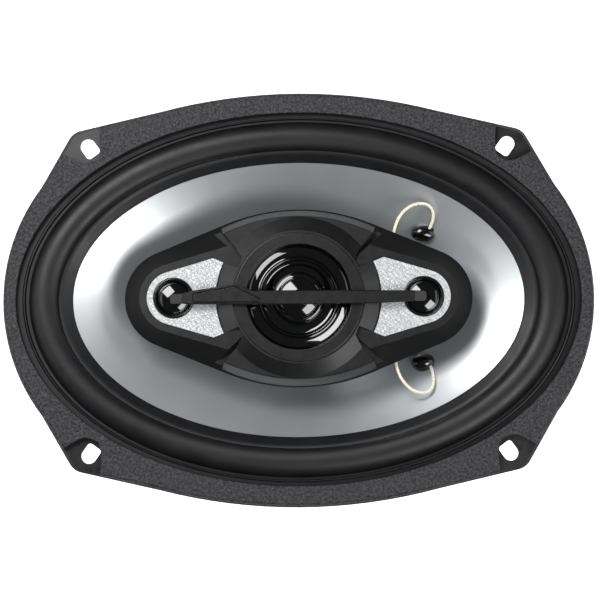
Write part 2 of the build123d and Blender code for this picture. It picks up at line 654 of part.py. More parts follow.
def tweeter(side):
    out_r, in_r, top_z = TWEETER_RING
    ledge_r, ledge_z = TWEETER_LEDGE
    cup_r, _, cup_z, cup_top = TWEETER_CUP
    magnet_r, magnet_top = TWEETER_MAGNET
    plate_r, plate_top = TWEETER_PLATE
    coil_r, coil_in, _, coil_top = TWEETER_COIL
    dome_r, dome_base, dome_top = TWEETER_DOME
    floor = cup_z + 0.8
    housing = turned([(ledge_r, cup_top), (out_r, cup_top), (out_r, top_z - 0.4), (out_r - 0.4, top_z),
                      (in_r + 0.3, top_z), (in_r, top_z - 0.3), (in_r, ledge_z), (ledge_r, ledge_z)])
    yoke = ring(cup_r, 0, cup_z, floor) + ring(*TWEETER_CUP)
    suspension = turned([(coil_r, coil_top), (coil_r, coil_top + 0.2), (coil_r + 0.35, coil_top + 0.5),
                         (coil_r + 0.7, coil_top + 0.2), (in_r - 0.05, ledge_z + 0.3), (in_r - 0.05, ledge_z),
                         (ledge_r + 0.1, ledge_z)])
    dome = turned([(0, dome_top)] + cap_points(dome_r, dome_base, dome_top)[1:]
                  + [(coil_r, dome_base - 0.1), (coil_r, coil_top), (coil_in, coil_top)]
                  + cap_points(coil_in - 0.1, dome_base - 0.1, dome_top - TWEETER_SKIN)[::-1])
    parts = {"ring": housing, "yoke": yoke, "magnet": ring(magnet_r, 0, floor, magnet_top),
             "pole_plate": ring(plate_r, 0, magnet_top, plate_top), "surround": suspension, "dome": dome,
             "coil": ring(*TWEETER_COIL)}
    name = "tweeter_right_" if side > 0 else "tweeter_left_"
    return {name + key: Pos(side * TWEETER_X, 0, 0) * solid for key, solid in parts.items()}


# ---------------------------------------------------------------- assembly
def build():
    nodes = {"basket": basket(), "gasket": gasket(), "surround": surround(), "spider": spider()}
    nodes.update(motor())
    for rivet in nodes["plate_rivets"]:
        nodes["basket"] -= rivet
    nodes.update(cone_set())
    nodes.update(terminals())
    insert = slab(insert_outline(), *INSERT_Z) - Pos(TWEETER_X, 0, 0) * ring(TWEETER_RING[0], 0, 10, 15)
    capacitor = Pos(33.0, 0, 9.0) * Rot(90, 0, 0) * Cylinder(2.4, 11.0)
    nodes.update({
        "pod_base": pod_base(), "pod_housing": pod_housing(), "pod_screws": pod_screws(),
        "pod_terminals": pod_tags(), "centre_bezel": ring(*BEZEL), "grille_bar": bar(),
        "bar_nameplate": nameplate(),
        "trim_insert_right": insert, "trim_insert_left": mirror(insert, Plane.YZ),
        "capacitor_right": capacitor, "capacitor_left": mirror(capacitor, Plane.YZ)})
    nodes.update(middle_driver())
    nodes.update(tweeter(1))
    nodes.update(tweeter(-1))
    return nodes


def main():
    os.makedirs("parts", exist_ok=True)
    for name, shape in build().items():
        if isinstance(shape, list):
            shape = Compound(children=shape)
        export_step(shape, os.path.join("parts", name + ".step"))


main()
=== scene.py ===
"""Looks of the oval coaxial car loudspeaker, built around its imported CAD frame.

Sizes are in mm until a mesh is made.
"""
import json
import math

import bmesh
import bpy
import numpy as np
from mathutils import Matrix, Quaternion, Vector


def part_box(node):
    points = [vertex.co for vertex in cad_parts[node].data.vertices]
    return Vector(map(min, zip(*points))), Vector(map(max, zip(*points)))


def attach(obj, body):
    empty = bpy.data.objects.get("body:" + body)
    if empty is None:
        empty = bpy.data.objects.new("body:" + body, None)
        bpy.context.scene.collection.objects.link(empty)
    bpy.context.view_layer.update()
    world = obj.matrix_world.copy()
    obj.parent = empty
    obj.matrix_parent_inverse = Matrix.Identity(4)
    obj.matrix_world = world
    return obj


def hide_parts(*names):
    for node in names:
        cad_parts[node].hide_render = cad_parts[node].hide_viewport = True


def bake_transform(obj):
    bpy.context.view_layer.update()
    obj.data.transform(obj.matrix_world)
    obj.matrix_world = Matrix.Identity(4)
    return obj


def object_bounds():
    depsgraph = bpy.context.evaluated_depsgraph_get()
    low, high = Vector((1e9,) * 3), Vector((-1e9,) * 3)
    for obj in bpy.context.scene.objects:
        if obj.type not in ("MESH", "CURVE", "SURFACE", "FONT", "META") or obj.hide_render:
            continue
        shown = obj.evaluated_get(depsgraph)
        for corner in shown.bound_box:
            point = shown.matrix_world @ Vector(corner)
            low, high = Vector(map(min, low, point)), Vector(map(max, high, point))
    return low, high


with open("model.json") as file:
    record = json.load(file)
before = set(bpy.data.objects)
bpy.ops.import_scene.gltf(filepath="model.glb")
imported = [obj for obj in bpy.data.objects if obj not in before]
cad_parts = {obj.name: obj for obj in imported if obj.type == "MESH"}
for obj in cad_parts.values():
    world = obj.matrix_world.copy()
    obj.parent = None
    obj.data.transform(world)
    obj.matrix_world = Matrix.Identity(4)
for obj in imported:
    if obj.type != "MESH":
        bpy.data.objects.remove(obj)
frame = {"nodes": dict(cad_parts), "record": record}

CAD_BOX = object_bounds()
MM = 0.001
FINE = 256          # points round a large oval
ROUND = 160         # points round the middle driver
TWEETER_ROUND = 96
SMOOTH = 35.0       # degrees; modelled edges that turn by more stay sharp

# ---------------------------------------------------------------- sizes that the frame's boxes don't give
CONE_RIM = (93.6, 58.0)         # half axes and height of the cone's front edge
CONE_RIM_Z = 2.5
CONE_NECK_R = 16.05
CONE_NECK_Z = -29.5
CONE_T = 0.9
LIP_EDGE = (89.6, 54.65)        # half axes: silver edge, both feet of the roll, inside of the gasket
ROLL_IN = (95.1, 59.2)
ROLL_OUT = (107.0, 70.7)
GASKET_IN = (112.0, 74.1)
LIP_T = 0.5
LEAD_D = 1.24
LEADS = {
    "upper": [(37.2, 21.8, 3.2), (38.0, 27.6, 3.4), (40.6, 33.6, 3.2), (46.0, 37.9, 1.8),
              (52.4, 37.9, -0.4), (54.8, 33.0, -3.4), (52.6, 28.6, -6.9)],
    "lower": [(37.4, -19.6, 3.2), (38.0, -25.8, 3.4), (40.2, -32.2, 3.2), (45.2, -37.2, 1.8),
              (51.6, -37.6, -0.4), (54.2, -32.0, -3.8), (52.4, -26.6, -7.6)],
}
TWEETER_X = 49.2
SHARP = 13.0        # degrees; CAD edges that turn by more are rounded and stay crisp
FLAT = 0.6          # degrees; CAD facets that turn by less are merged
MERGE = 3e-6        # metres; CAD vertices closer than this are one
EDGE_SEGMENTS = 3
INSERT_GAP = 0.2    # between each silver insert and its pocket
NOISE_RANGE = (0.3, 0.7)    # values that most of a noise texture lies between
WAVE_SCALE = 0.314          # turns bands per metre into the wave texture's scale


# ---------------------------------------------------------------- meshes
def add(name, points, faces, smooth=SMOOTH):
    """Mesh object from points in mm. Edges that turn by more than smooth degrees stay sharp."""
    mesh = bpy.data.meshes.new(name)
    mesh.from_pydata([tuple(c * MM for c in p) for p in points], [], faces)
    mesh.validate()
    bm = bmesh.new()
    bm.from_mesh(mesh)
    bmesh.ops.recalc_face_normals(bm, faces=bm.faces)
    bm.to_mesh(mesh)
    bm.free()
    mesh.shade_smooth()
    mesh.set_sharp_from_angle(angle=math.radians(smooth))
    obj = bpy.data.objects.new(name, mesh)
    bpy.context.scene.collection.objects.link(obj)
    return obj


def weigh_normals(obj):
    """Flat faces keep flat shading beside rounded edges."""
    modifier = obj.modifiers.new("normals", "WEIGHTED_NORMAL")
    modifier.keep_sharp = True
    modifier.weight = 100
    return obj


def oval_row(a, b, z, count, at=(0.0, 0.0)):
    turn = np.linspace(0, 2 * math.pi, count, endpoint=False)
    return np.column_stack([at[0] + a * np.cos(turn), at[1] + b * np.sin(turn), np.full(count, float(z))])


def join_rows(name, rows, smooth=SMOOTH, closed=True):
    """Surface through rows of points. A row of one point is a pole; closed joins last row to first."""
    points = []
    starts = []
    for row in rows:
        starts.append(len(points))
        points.extend(map(tuple, row))
    faces = []
    pairs = list(zip(range(len(rows) - 1), range(1, len(rows))))
    if closed:
        pairs.append((len(rows) - 1, 0))
    for i, j in pairs:
        m, n = len(rows[i]), len(rows[j])
        if m == 1 and n == 1:
            continue
        count = max(m, n)
        for k in range(count):
            l = (k + 1) % count
            if m == 1:
                faces.append((starts[i], starts[j] + l, starts[j] + k))
            elif n == 1:
                faces.append((starts[i] + k, starts[i] + l, starts[j]))
            else:
                faces.append((starts[i] + k, starts[i] + l, starts[j] + l, starts[j] + k))
    return weigh_normals(add(name, points, faces, smooth))


def rounded(profile, steps=4):
    """Profile points (radius, height, corner radius) with each corner turned into an arc."""
    out = []
    count = len(profile)
    for i, (x, z, corner) in enumerate(profile):
        at = Vector((x, z))
        if not corner:
            out.append(at)
            continue
        before = Vector(profile[i - 1][:2]) - at
        after = Vector(profile[(i + 1) % count][:2]) - at
        half = before.angle(after) / 2
        reach = min(corner / math.tan(half), 0.45 * before.length, 0.45 * after.length)
        start = at + before.normalized() * reach
        end = at + after.normalized() * reach
        for k in range(steps + 1):
            t = k / steps
            out.append((1 - t) ** 2 * start + 2 * t * (1 - t) * at + t * t * end)
    return [(p.x, p.y) for p in out]


def turned(name, profile, at=(0.0, 0.0), count=ROUND):
    """Solid of revolution from a closed profile of (radius, height, corner radius)."""
    rows = []
    for r, z in rounded(profile):
        if r < 1e-6:
            rows.append([(at[0], at[1], z)])
        else:
            rows.append(oval_row(r, r, z, count, at))
    return join_rows(name, rows)


def arch(start, end, height, steps=24):
    """Points of a half-sine arch between two (radius, height) points, ends left out."""
    out = []
    for k in range(1, steps):
        t = k / steps
        out.append((start[0] + t * (end[0] - start[0]),
                    start[1] + t * (end[1] - start[1]) + height * math.sin(math.pi * t), 0))
    return out


def cap(radius, top, sphere, steps=20):
    """Profile of a spherical cap from its centre out to radius."""
    out = []
    for k in range(steps + 1):
        r = radius * k / steps
        out.append((r, top - sphere + math.sqrt(sphere ** 2 - r ** 2), 0))
    return out


def lists(bm, unit=1.0):
    """Points, in units of unit, and faces of a bmesh, which is freed."""
    bm.verts.index_update()
    points = [tuple(c / unit for c in v.co) for v in bm.verts]
    faces = [[v.index for v in f.verts] for f in bm.faces]
    bm.free()
    return points, faces


def shrink_walls(bm, gap):
    """Moves the upright walls of a flat piece inwards by gap mm, corners mitred."""
    moves = {}
    for v in bm.verts:
        walls = []
        for f in v.link_faces:
            if abs(f.normal.z) < 0.3 and all(f.normal.dot(w) < 0.9999 for w in walls):
                walls.append(f.normal.copy())
        if walls:
            first, second = walls[0], walls[-1]
            moves[v] = (first + second) / (1 + first.dot(second)) * (gap * MM)
    for v, move in moves.items():
        v.co -= move


def softened(node, name, width, gap, whole):
    """Copy of a CAD node's shape with small rounded edges and, if whole, its flat faces merged."""
    bm = bmesh.new()
    bm.from_mesh(frame["nodes"][node].data)
    bmesh.ops.remove_doubles(bm, verts=bm.verts, dist=MERGE)
    if whole:
        bmesh.ops.dissolve_limit(bm, angle_limit=math.radians(FLAT), verts=bm.verts, edges=bm.edges)
    if gap:
        bm.normal_update()
        shrink_walls(bm, gap)
    obj = add(name, *lists(bm, MM), SHARP)
    bevel = obj.modifiers.new("edges", "BEVEL")
    bevel.width = width * MM
    bevel.segments = EDGE_SEGMENTS
    bevel.limit_method = "ANGLE"
    bevel.angle_limit = math.radians(SHARP)
    bevel.use_clamp_overlap = True
    bevel.harden_normals = True
    weigh_normals(obj)
    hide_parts(node)
    return obj


def place(obj, body, slot, material, *nodes):
    """Puts a finished piece on its body, with its material, in place of its CAD nodes."""
    obj.data.materials.clear()
    obj.data.materials.append(material)
    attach(obj, body)
    if nodes:
        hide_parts(*nodes)
    return obj


def cone_face(x, y):
    """Height of the cone's front face above points (x, y), arrays in mm."""
    low = np.zeros_like(x)
    high = np.full_like(x, 1.2)
    for _ in range(36):
        mid = (low + high) / 2
        a = CONE_NECK_R + mid * (CONE_RIM[0] - CONE_NECK_R)
        b = CONE_NECK_R + mid * (CONE_RIM[1] - CONE_NECK_R)
        outside = (x / a) ** 2 + (y / b) ** 2 > 1
        low = np.where(outside, mid, low)
        high = np.where(outside, high, mid)
    return CONE_NECK_Z + low * (CONE_RIM_Z - CONE_NECK_Z)


# ---------------------------------------------------------------- materials
class Finish:
    """A principled material whose colour, roughness and bump come from nodes."""

    def __init__(self, name, colour, rough, metallic=0.0, **sockets):
        self.material = bpy.data.materials.new(name)
        self.material.use_nodes = True
        self.tree = self.material.node_tree
        self.shader = self.tree.nodes["Principled BSDF"]
        self.shader.inputs["Base Color"].default_value = (*colour, 1)
        self.shader.inputs["Roughness"].default_value = rough
        self.shader.inputs["Metallic"].default_value = metallic
        for key, value in sockets.items():
            self.shader.inputs[key.replace("_", " ")].default_value = value
        self.where = self.node("ShaderNodeTexCoord").outputs["Object"]
        self.normal = None

    def node(self, kind, **values):
        made = self.tree.nodes.new(kind)
        for key, value in values.items():
            if key in made.inputs:
                made.inputs[key].default_value = value
            else:
                setattr(made, key, value)
        return made

    def link(self, out, into):
        self.tree.links.new(out, into)

    def noise(self, size, detail=3.0, stretch=None):
        """Noise with features about size mm across."""
        made = self.node("ShaderNodeTexNoise", Scale=1 / (size * MM), Detail=detail)
        where = self.where
        if stretch:
            mapping = self.node("ShaderNodeMapping", Scale=stretch)
            self.link(where, mapping.inputs["Vector"])
            where = mapping.outputs["Vector"]
        self.link(where, made.inputs["Vector"])
        return made.outputs["Fac"]

    def cells(self, size, feature="SMOOTH_F1"):
        made = self.node("ShaderNodeTexVoronoi", Scale=1 / (size * MM))
        made.feature = feature
        self.link(self.where, made.inputs["Vector"])
        return made.outputs["Distance"]

    def waves(self, size, direction):
        """Bands size mm apart along the direction."""
        made = self.node("ShaderNodeTexWave", Scale=1 / (size * MM) * WAVE_SCALE, Distortion=0.0)
        made.bands_direction = direction
        self.link(self.where, made.inputs["Vector"])
        return made.outputs["Fac"]

    def ramp(self, value, low, high, start=0.35, end=0.65):
        made = self.node("ShaderNodeValToRGB")
        made.color_ramp.elements[0].position = start
        made.color_ramp.elements[1].position = end
        made.color_ramp.elements[0].color = (*low, 1)
        made.color_ramp.elements[1].color = (*high, 1)
        self.link(value, made.inputs["Fac"])
        return made.outputs["Color"]

    def colour(self, value, low, high, start=0.35, end=0.65):
        self.link(self.ramp(value, low, high, start, end), self.shader.inputs["Base Color"])
        return self

    def rough(self, value, low, high):
        made = self.node("ShaderNodeMapRange")
        made.inputs["To Min"].default_value = low
        made.inputs["To Max"].default_value = high
        made.inputs["From Min"].default_value = NOISE_RANGE[0]
        made.inputs["From Max"].default_value = NOISE_RANGE[1]
        self.link(value, made.inputs["Value"])
        self.link(made.outputs["Result"], self.shader.inputs["Roughness"])
        return self

    def bump(self, value, depth, strength=1.0):
        """Relief of about depth mm."""
        made = self.node("ShaderNodeBump", Strength=strength, Distance=depth * MM)
        self.link(value, made.inputs["Height"])
        if self.normal:
            self.link(self.normal, made.inputs["Normal"])
        self.normal = made.outputs["Normal"]
        self.link(self.normal, self.shader.inputs["Normal"])
        return self


def plastic(name, shade, rough):
    """Moulded black plastic: fine spark-eroded grain, slight mottling."""
    low = (shade * 0.86,) * 3
    high = (shade * 1.14,) * 3
    made = Finish(name, low, rough, Specular_IOR_Level=0.42)
    made.colour(made.noise(9, 4), low, high)
    made.rough(made.noise(3.5, 5), rough - 0.02, rough + 0.03)
    made.bump(made.noise(0.5, 3), 0.012)
    return made.material


def gloss(name, shade, rough=0.06):
    """Polished black polymer film."""
    made = Finish(name, (shade,) * 3, rough, Coat_Weight=0.5, Coat_Roughness=0.03, Specular_IOR_Level=0.3)
    made.colour(made.noise(6, 3), (shade * 0.8,) * 3, (shade * 1.2,) * 3)
    made.rough(made.noise(2.5, 4), rough * 0.8, rough * 1.5)
    made.bump(made.noise(4.0, 2), 0.002, 0.5)
    return made.material


def foam():
    """Gasket: black closed-cell foam with a leather grain."""
    made = Finish("gasket_foam", (0.012,) * 3, 0.55, Specular_IOR_Level=0.3)
    made.colour(made.noise(0.95, 5), (0.0015, 0.0015, 0.0022), (0.033, 0.033, 0.038), 0.38, 0.68)
    made.rough(made.noise(1.6, 3), 0.44, 0.62)
    made.bump(made.cells(1.15), 0.28)
    made.bump(made.noise(0.65, 4), 0.24)
    return made.material


def rubber():
    made = Finish("surround_rubber", (0.005,) * 3, 0.42, Specular_IOR_Level=0.26)
    made.colour(made.noise(14, 4), (0.0035, 0.0035, 0.004), (0.006, 0.006, 0.0068))
    made.rough(made.noise(5, 4), 0.39, 0.46)
    made.bump(made.noise(0.35, 3), 0.012)
    return made.material


def silver():
    """Cone: metallised polymer sheet with a satin face."""
    made = Finish("cone_silver", (0.72, 0.74, 0.75), 0.4, 0.85)
    made.colour(made.noise(18, 5), (0.575, 0.598, 0.615), (0.60, 0.623, 0.640))
    made.rough(made.noise(6, 5), 0.365, 0.38)
    made.bump(made.noise(0.3, 2), 0.006)
    return made.material


def insert_leather():
    """Trim insert: silver-white moulding with a fine leather grain, its creases painted darker as painted
    shade.
    """
    made = Finish("insert_silver", (0.8,) * 3, 0.4, 0.25)
    crease_relief_and_shade = made.cells(1.25, "DISTANCE_TO_EDGE")
    # painted shade: the colour darkens in the grain's creases, where shade falls; the same crease mask sinks
    # the bump
    made.colour(crease_relief_and_shade, (0.26, 0.27, 0.275), (0.42, 0.43, 0.435), 0.0, 0.16)
    made.rough(made.noise(1.2, 4), 0.3, 0.5)
    made.bump(made.ramp(crease_relief_and_shade, (0, 0, 0), (1, 1, 1), 0.0, 0.22), 0.06)
    made.bump(made.noise(0.5, 3), 0.03)
    return made.material


def cloth():
    """Spider: amber resin-stiffened cotton weave."""
    made = Finish("spider_cloth", (0.5, 0.3, 0.1), 0.85, Sheen_Weight=0.25)
    made.colour(made.noise(7, 5), (0.33, 0.17, 0.045), (0.50, 0.29, 0.09))
    made.rough(made.noise(3, 3), 0.75, 0.95)
    made.bump(made.waves(0.55, "X"), 0.05)
    made.bump(made.waves(0.55, "Y"), 0.05)
    return made.material


def steel(name, low, high, rough):
    """Plated steel, and the brass and foil that differ from it only in colour."""
    made = Finish(name, low, rough, 1.0)
    made.colour(made.noise(8, 5), low, high)
    made.rough(made.noise(2, 5), rough - 0.07, rough + 0.1)
    made.bump(made.noise(0.4, 4), 0.006)
    return made.material


def paint(name, shade, rough=0.42):
    """Black stoved enamel over pressed steel, with slight orange peel."""
    made = Finish(name, (shade,) * 3, rough, Coat_Weight=0.1, Coat_Roughness=0.2, Specular_IOR_Level=0.3)
    made.colour(made.noise(12, 4), (shade * 0.85,) * 3, (shade * 1.2,) * 3)
    made.rough(made.noise(4, 4), rough - 0.07, rough + 0.1)
    made.bump(made.noise(1.1, 2), 0.02)
    made.bump(made.noise(0.3, 2), 0.006)
    return made.material


def ferrite():
    made = Finish("ferrite", (0.05, 0.05, 0.055), 0.62)
    made.colour(made.noise(5, 6), (0.035, 0.034, 0.036), (0.075, 0.072, 0.072))
    made.rough(made.noise(1.5, 5), 0.5, 0.75)
    made.bump(made.noise(0.8, 6), 0.04)
    return made.material


def phenolic():
    """Terminal board: brown paper laminate."""
    made = Finish("board_phenolic", (0.3, 0.15, 0.05), 0.5)
    made.colour(made.noise(2.5, 6, (1, 6, 1)), (0.20, 0.095, 0.030), (0.33, 0.17, 0.06))
    made.rough(made.noise(1.2, 4), 0.42, 0.62)
    made.bump(made.noise(0.6, 4), 0.015)
    return made.material


def winding():
    """Enamelled copper wire wound round and round."""
    made = Finish("copper_wire", (0.6, 0.22, 0.07), 0.3, 1.0)
    made.colour(made.noise(3, 4), (0.46, 0.14, 0.04), (0.68, 0.27, 0.10))
    made.rough(made.noise(1, 3), 0.22, 0.4)
    made.bump(made.waves(0.3, "Z"), 0.06)
    return made.material


def cotton():
    """Lead: cream cotton braid over tinsel wire."""
    made = Finish("lead_braid", (0.7, 0.64, 0.5), 0.85, Sheen_Weight=0.3)
    made.colour(made.noise(0.5, 4), (0.52, 0.46, 0.34), (0.80, 0.76, 0.66))
    made.rough(made.noise(0.4, 2), 0.75, 0.95)
    made.bump(made.noise(0.16, 2), 0.03)
    return made.material


def sleeve():
    made = Finish("capacitor_sleeve", (0.02, 0.03, 0.08), 0.3)
    made.colour(made.noise(6, 3), (0.012, 0.018, 0.05), (0.02, 0.03, 0.08))
    made.rough(made.noise(2, 3), 0.22, 0.38)
    made.bump(made.noise(1, 3), 0.01)
    return made.material


MATERIALS = {
    "basket_paint": paint("basket_paint", 0.006, 0.34),
    "gasket_foam": foam(),
    "surround_rubber": rubber(),
    "spider_cloth": cloth(),
    "plated_steel": steel("plated_steel", (0.52, 0.52, 0.50), (0.66, 0.66, 0.63), 0.33),
    "ferrite": ferrite(),
    "rivet_steel": steel("rivet_steel", (0.55, 0.55, 0.54), (0.7, 0.7, 0.69), 0.3),
    "board_phenolic": phenolic(),
    "brass_tab": steel("brass_tab", (0.62, 0.60, 0.52), (0.76, 0.73, 0.62), 0.28),
    "screw_black": paint("screw_black", 0.02, 0.35),
    "pod_plastic": plastic("pod_plastic", 0.004, 0.30),
    "bezel_plastic": plastic("bezel_plastic", 0.004, 0.29),
    "bar_plastic": plastic("bar_plastic", 0.004, 0.28),
    "insert_silver": insert_leather(),
    "capacitor_sleeve": sleeve(),
    "cone_silver": silver(),
    "former_foil": steel("former_foil", (0.75, 0.75, 0.76), (0.86, 0.86, 0.87), 0.3),
    "copper_wire": winding(),
    "lead_braid": cotton(),
    "glue_black": gloss("glue_black", 0.003, 0.12),
    "gloss_black": gloss("gloss_black", 0.0015),
    "ring_black": gloss("ring_black", 0.003, 0.16),
}


# ---------------------------------------------------------------- camera, then the leads
AIM = Vector((0.0005, -0.00019, 0.0))
CAMERA_UP = 86.0            # degrees above the flange's plane
CAMERA_AWAY = 1.15
CAMERA_LENS = 173.5
CAMERA_ROLL = -0.44         # degrees, turns the object anticlockwise in the frame


def camera():
    data = bpy.data.cameras.new("camera")
    data.lens = CAMERA_LENS
    data.sensor_width = 36.0
    obj = bpy.data.objects.new("camera", data)
    bpy.context.scene.collection.objects.link(obj)
    up = math.radians(CAMERA_UP)
    back = Vector((0, -math.cos(up), math.sin(up)))
    obj.location = AIM + back * CAMERA_AWAY
    roll = Quaternion((0, 0, 1), math.radians(CAMERA_ROLL))
    obj.rotation_euler = ((-back).to_track_quat("-Z", "Y") @ roll).to_euler()
    bpy.context.scene.camera = obj


def route_line(name, route):
    """Points along the smooth spline that has the route as its control points, in mm."""
    curve = bpy.data.curves.new(name + "_route", "CURVE")
    curve.dimensions = "3D"
    spline = curve.splines.new("NURBS")
    spline.points.add(len(route) - 1)
    for point, at in zip(spline.points, route):
        point.co = (*(c * MM for c in at), 1)
    spline.order_u = 3
    spline.use_endpoint_u = True
    spline.resolution_u = 48
    holder = bpy.data.objects.new(name + "_route", curve)
    mesh = bpy.data.meshes.new_from_object(holder)
    line = [v.co / MM for v in mesh.vertices]
    bpy.data.objects.remove(holder)
    return line


def braided_tube(name, line, radius, sides=24, plaits=6, pitch=2.6, relief=0.1):
    """Tube along the line whose surface rises and falls as two families of crossing strands."""
    rows = []
    side = Vector((0, 0, 1)).cross(line[1] - line[0]).normalized()
    gone = 0.0
    last = len(line) - 1
    for i, at in enumerate(line):
        run = (line[min(i + 1, last)] - line[max(i - 1, 0)]).normalized()
        side = (side - run * side.dot(run)).normalized()
        other = run.cross(side)
        if i:
            gone += (at - line[i - 1]).length
        row = []
        for k in range(sides):
            turn = 2 * math.pi * k / sides
            climb = 2 * math.pi * gone / pitch
            left = abs(math.cos(plaits / 2 * (turn + climb)))
            right = abs(math.cos(plaits / 2 * (turn - climb)))
            r = radius * (1 - relief * (1 - max(left, right)))
            row.append(at + side * (r * math.cos(turn)) + other * (r * math.sin(turn)))
        rows.append(row)
    return join_rows(name, [[line[0]]] + rows + [[line[-1]]], 80.0, closed=False)


def lead(which):
    line = route_line("flex_lead_" + which, LEADS[which])
    obj = braided_tube("flex_lead_" + which + "_braid", line, LEAD_D / 2)
    obj.data.materials.append(MATERIALS["lead_braid"])
    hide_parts("flex_lead_" + which)
    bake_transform(obj)


camera()
lead("upper")
lead("lower")


# ---------------------------------------------------------------- soft parts
def ring_blend(obj):
    """Bakes the piece's placement into its mesh."""
    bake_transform(obj)


def between(inner, outer, t):
    return (inner[0] + t * (outer[0] - inner[0]), inner[1] + t * (outer[1] - inner[1]))


def surround():
    """Rubber ring: lip glued down the cone's slope, one roll, step and flat foot under the gasket."""
    low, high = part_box("surround")
    foot = low.z / MM
    crest = high.z / MM
    sheet = 0.6
    step_z = 3.5
    rows = []

    def on_cone(axes, lift):
        row = oval_row(*axes, 0, FINE)
        row[:, 2] = cone_face(row[:, 0], row[:, 1]) + lift
        rows.append(row)

    def level(axes, z):
        rows.append(oval_row(*axes, z, FINE))

    def roll(drop, steps=28):
        for k in range(steps + 1):
            turn = math.pi * (1 - k / steps)
            t = 0.5 + 0.5 * math.cos(turn)
            axes = between(ROLL_IN, ROLL_OUT, 0.06 + 0.88 * t if drop else t)
            row = oval_row(*axes, 0, FINE)
            if t < 0.5:
                base = cone_face(row[:, 0], row[:, 1]).clip(foot, 3.4)
            else:
                base = np.full(FINE, foot + sheet)
            row[:, 2] = base + (crest - drop - base) * math.sin(turn) ** 0.9
            rows.append(row)

    on_cone(between(LIP_EDGE, ROLL_IN, 0.0), 0.02)
    on_cone(between(LIP_EDGE, ROLL_IN, 0.0), LIP_T - 0.12)
    on_cone(between(LIP_EDGE, ROLL_IN, 0.03), LIP_T)
    for k in range(1, 5):
        on_cone(between(LIP_EDGE, ROLL_IN, 0.2 * k), LIP_T)
    roll(0.0)
    level(between(ROLL_OUT, GASKET_IN, 0.10), foot + sheet)
    for t, z in ((0.24, foot + sheet), (0.27, step_z - 0.6), (0.32, step_z - 0.1), (0.39, step_z),
                 (0.46, step_z - 0.1), (0.51, step_z - 0.6), (0.54, foot + sheet), (0.98, foot + sheet)):
        level(between(ROLL_OUT, GASKET_IN, t), z)
    level(between(ROLL_OUT, GASKET_IN, 0.98), foot + 0.02)
    level(between(ROLL_OUT, GASKET_IN, 0.10), foot + 0.02)
    top_rows = len(rows)
    roll(sheet)
    rows[top_rows:] = rows[top_rows:][::-1]
    obj = join_rows("surround_roll", rows, 50.0)
    obj.data.materials.append(MATERIALS["surround_rubber"])
    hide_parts("surround")
    ring_blend(obj)


def cone():
    steps = 40
    front = []
    back = []
    for k in range(steps + 1):
        t = k / steps
        a = CONE_NECK_R + t * (CONE_RIM[0] - CONE_NECK_R)
        b = CONE_NECK_R + t * (CONE_RIM[1] - CONE_NECK_R)
        z = CONE_NECK_Z + t * (CONE_RIM_Z - CONE_NECK_Z)
        front.append(oval_row(a, b, z, FINE))
        back.append(oval_row(a, b, z - CONE_T, FINE))
    place(join_rows("cone_sheet", front + back[::-1], 50.0), "woofer_cone", "cone_silver",
          MATERIALS["cone_silver"], "cone")


def spider():
    low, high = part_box("spider")
    inner = CONE_NECK_R
    outer = high.x / MM
    middle = (low.z + high.z) / 2 / MM
    sheet = 0.5
    waves = 5
    swing = (high.z - low.z) / 2 / MM - sheet / 2
    rows = []
    steps = 120
    for face in (sheet / 2, -sheet / 2):
        face_rows = []
        for k in range(steps + 1):
            r = inner + (outer - inner) * k / steps
            t = min(max((r - inner - 3) / (outer - inner - 10), 0), 1)
            z = middle + face + swing * math.sin(2 * math.pi * waves * t)
            face_rows.append(oval_row(r, r, z, FINE))
        rows += face_rows if face > 0 else face_rows[::-1]
    obj = join_rows("spider_disc", rows, 60.0)
    obj.data.materials.append(MATERIALS["spider_cloth"])
    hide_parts("spider")
    ring_blend(obj)


def glue(which, seed):
    """Lumpy drop of black cement over the lead's end."""
    low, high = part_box("lead_glue_" + which)
    centre = (low + high) / 2 / MM
    half = (high - low) / 2 / MM
    rng = np.random.default_rng(seed)
    lumps = rng.normal(size=(7, 3))
    lumps /= np.linalg.norm(lumps, axis=1)[:, None]
    heights = rng.uniform(0.05, 0.16, size=7)
    bm = bmesh.new()
    bmesh.ops.create_icosphere(bm, subdivisions=5, radius=1.0)
    for v in bm.verts:
        ray = np.array(v.co.normalized())
        swell = 0.86 + float(np.sum(heights * np.exp(-5 * (1 - lumps @ ray))))
        swell = min(swell, 0.99)
        v.co = Vector((centre.x + half.x * swell * ray[0], centre.y + half.y * swell * ray[1],
                       centre.z + half.z * swell * ray[2]))
    place(add("lead_glue_" + which + "_drop", *lists(bm), 80.0), "woofer_cone", "glue_black",
          MATERIALS["glue_black"], "lead_glue_" + which)


surround()
cone()
spider()
glue("upper", 3)
glue("lower", 8)


